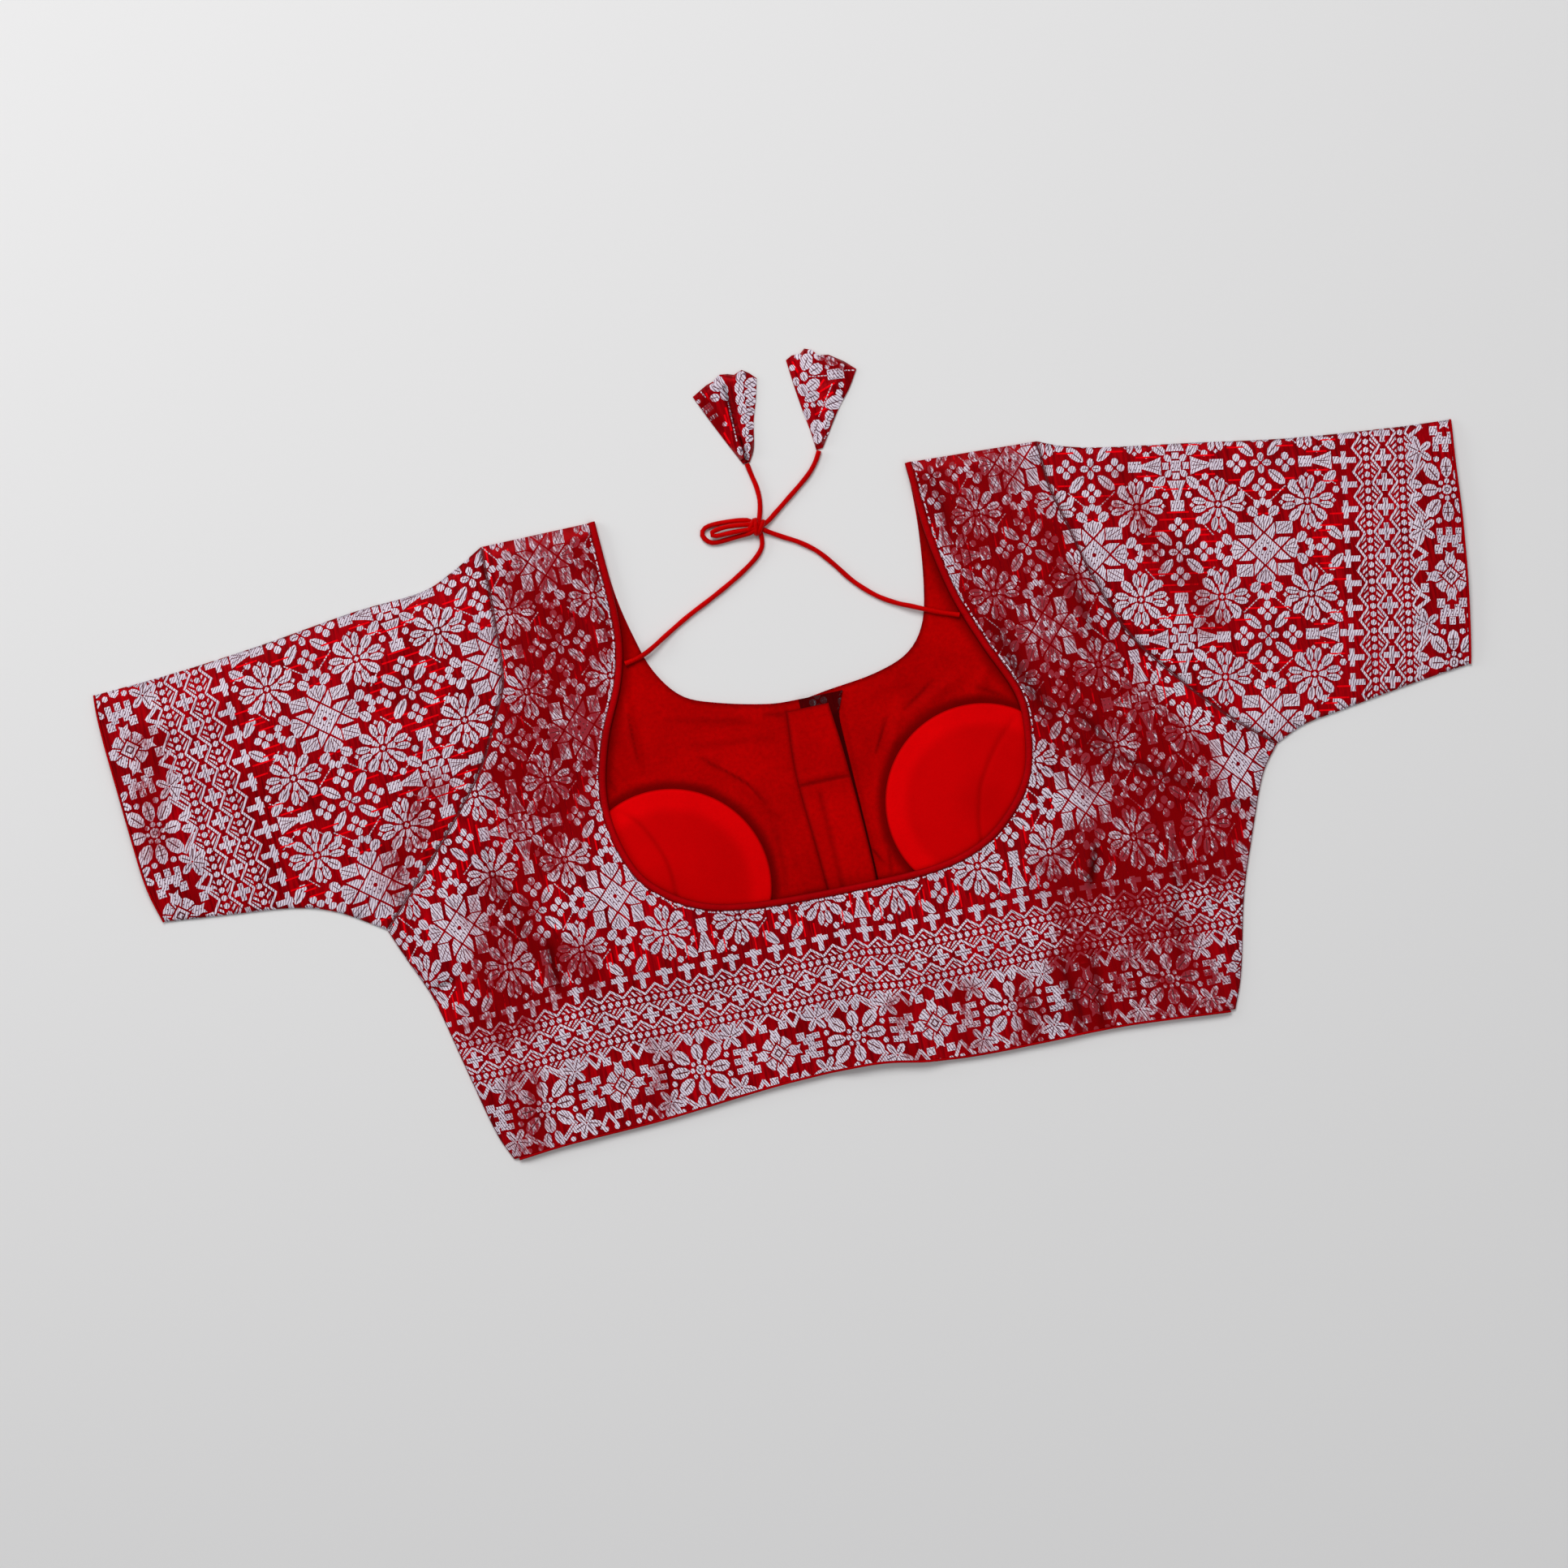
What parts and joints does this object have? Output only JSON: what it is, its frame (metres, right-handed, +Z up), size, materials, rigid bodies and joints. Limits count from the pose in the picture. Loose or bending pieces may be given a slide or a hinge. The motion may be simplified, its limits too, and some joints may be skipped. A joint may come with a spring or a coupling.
{
  "type": "brocade blouse laid flat with its back up",
  "caption": "Short-sleeved brocade blouse with a deep round back neck, padded cups and tied neck cords ending in folded tassels, laid flat with its back up.",
  "frame": {"origin": "middle of the laid garment's footprint without its cords, on the surface that it lies on", "axes": "+X across the garment from one cuff to the other, +Y towards the shoulders and neck cords, +Z up out of the surface, from the front panels to the back panel"},
  "size_m": [0.802, 0.4256, 0.0113],
  "materials": {
    "brocade": "red satin with raised lilac-silver metallic thread",
    "lining": "plain red lining cotton, matt",
    "cup_cloth": "smooth bright red moulded cloth",
    "piping": "red satin bias strip",
    "cord": "red fabric cord, slight sheen"
  },
  "bodies": {
    "root": {"back_panel": "brocade", "front_left": "brocade", "front_right": "brocade", "sleeve_left": "brocade", "sleeve_right": "brocade", "placket_lap": "brocade", "latkan_left": "brocade", "latkan_right": "brocade", "lining_left": "lining", "lining_right": "lining", "placket_band": "lining", "cup_left": "cup_cloth", "cup_right": "cup_cloth", "neck_piping": "piping", "hem_edge_back": "piping", "hem_edge_front_left": "piping", "hem_edge_front_right": "piping", "cuff_edge_left": "piping", "cuff_edge_right": "piping", "tie_left": "cord", "tie_right": "cord", "tail_left": "cord", "tail_right": "cord", "bow_loop_outer": "cord", "bow_loop_inner": "cord", "bow_knot": "cord"}
  },
  "joints": []
}
